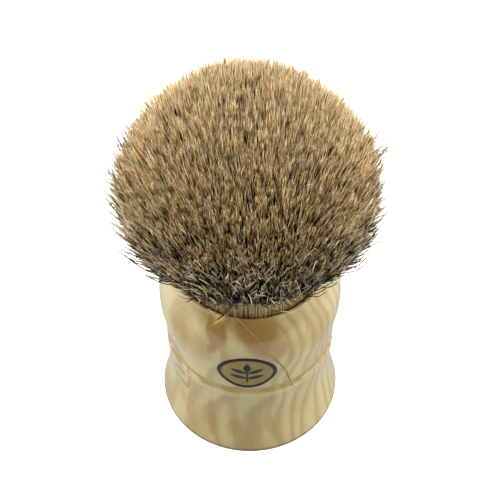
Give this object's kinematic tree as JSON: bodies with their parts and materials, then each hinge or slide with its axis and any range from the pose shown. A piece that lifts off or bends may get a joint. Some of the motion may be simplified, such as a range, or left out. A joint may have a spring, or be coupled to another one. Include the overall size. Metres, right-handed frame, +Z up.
{
  "type": "shaving brush",
  "caption": "Short shaving brush with a fan of two-tone badger hair glued into a turned, lacquered pale wood handle with a flared base and a small round badge.",
  "frame": {"origin": "centre of the base, on the plane the brush stands on", "axes": "+Z up along the brush towards the tips of the hair, -Y towards the front with the badge, +X to the badge's right"},
  "size_m": [0.0524, 0.0524, 0.0916],
  "materials": {
    "lacquered_wood": "pale ash-like wood turned smooth under a clear gloss lacquer",
    "adhesive": "set clear epoxy, slightly yellow",
    "cast_resin": "brown cast resin around the hair roots",
    "binding_thread": "waxed cotton thread, wound tight",
    "hair": "badger hair, pale root, near-black band and cream tip",
    "badge_tan": "printed tan film under lacquer",
    "badge_ink": "printed dark navy ink under lacquer"
  },
  "bodies": {
    "root": {"handle": "lacquered_wood", "knot_adhesive": "adhesive", "knot_plug": "cast_resin", "root_binding": "binding_thread", "bristle_fan": "hair", "badge_field": "badge_tan", "badge_ring": "badge_ink", "badge_sprig": "badge_ink"}
  },
  "joints": []
}
